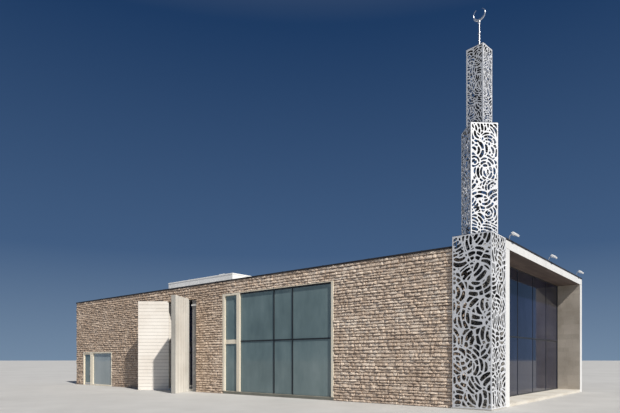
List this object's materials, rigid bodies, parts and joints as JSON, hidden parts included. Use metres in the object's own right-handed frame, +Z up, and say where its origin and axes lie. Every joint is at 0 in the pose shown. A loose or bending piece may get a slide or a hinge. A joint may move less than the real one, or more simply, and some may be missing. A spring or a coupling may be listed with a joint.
{
  "type": "two-storey stone mosque building with a three-tier perforated steel minaret",
  "caption": "Flat-roofed mosque with rough stone walls, a tall glazed hall, a recessed entrance, a glazed end portal and a tiered steel lattice minaret.",
  "frame": {"origin": "on the ground at the middle of the main block's plan", "axes": "+X along the street front toward the minaret and the portal, +Y into the building from the street, +Z up"},
  "size_m": [37.0927, 18.7715, 17.7563],
  "materials": {
    "rough_stone": "rough split face",
    "smooth_stone": "sawn, coursed",
    "concrete": "board-marked, matt",
    "white_render": "smooth, matt",
    "dark_flashing": "satin",
    "cream_frame": "satin",
    "dark_frame": "satin",
    "street_glass": "clear, tinted",
    "dark_glass": "clear, tinted",
    "steel": "brushed",
    "lamp_white": "gloss"
  },
  "bodies": {
    "building": {"street_pier_west": "rough_stone", "wall_over_shopfront": "rough_stone", "street_wall_west": "rough_stone", "entrance_lintel": "rough_stone", "street_pier_mid": "rough_stone", "wall_over_window": "rough_stone", "street_wall_east": "rough_stone", "back_wall": "rough_stone", "west_wall": "rough_stone", "entrance_return": "smooth_stone", "portal_wall_south": "smooth_stone", "portal_wall_north": "smooth_stone", "upper_floor_slab": "concrete", "roof_slab": "concrete", "entrance_slab_west": "concrete", "entrance_slab_east": "concrete", "entrance_jamb": "concrete", "minaret_pad": "concrete", "ground_floor_slab": "white_render", "portal_roof_slab": "white_render", "roof_box": "white_render", "portal_flashing": "dark_flashing", "parapet_coping": "dark_flashing", "street_window_frame": "cream_frame", "shopfront_frame": "cream_frame", "back_window_west": "cream_frame", "back_window_mid": "cream_frame", "back_window_east": "cream_frame", "entrance_frame": "dark_frame", "portal_window_frame": "dark_frame", "street_window_glass": "street_glass", "shopfront_glass": "street_glass", "portal_window_glass": "dark_glass", "entrance_glass": "dark_glass", "minaret_core": "steel", "minaret_lower_south": "steel", "minaret_lower_east": "steel", "minaret_lower_north": "steel", "minaret_lower_west": "steel", "minaret_middle_south": "steel", "minaret_middle_east": "steel", "minaret_middle_north": "steel", "minaret_middle_west": "steel", "minaret_upper_south": "steel", "minaret_upper_east": "steel", "minaret_upper_north": "steel", "minaret_upper_west": "steel", "minaret_finial": "steel", "portal_floodlight_south": "lamp_white", "portal_floodlight_middle": "lamp_white", "portal_floodlight_north": "lamp_white", "entrance_lamp": "lamp_white"},
    "entrance_leaf_west": {"entrance_door_west": "dark_frame"},
    "entrance_leaf_east": {"entrance_door_east": "dark_frame"},
    "shop_leaf": {"shopfront_door": "cream_frame"}
  },
  "joints": [
    {"name": "entrance_door_west_hinge", "type": "hinge", "parent": "building", "child": "entrance_leaf_west", "pos_m": [-4.459, -6.89, 0.185], "axis": [0, 0, -1], "range_deg": [0, 90]},
    {"name": "entrance_door_east_hinge", "type": "hinge", "parent": "building", "child": "entrance_leaf_east", "pos_m": [-2.541, -6.89, 0.185], "axis": [0, 0, 1], "range_deg": [0, 90]},
    {"name": "shopfront_door_hinge", "type": "hinge", "parent": "building", "child": "shop_leaf", "pos_m": [-16.979, -8.3, 0.035], "axis": [0, 0, -1], "range_deg": [0, 90]}
  ]
}
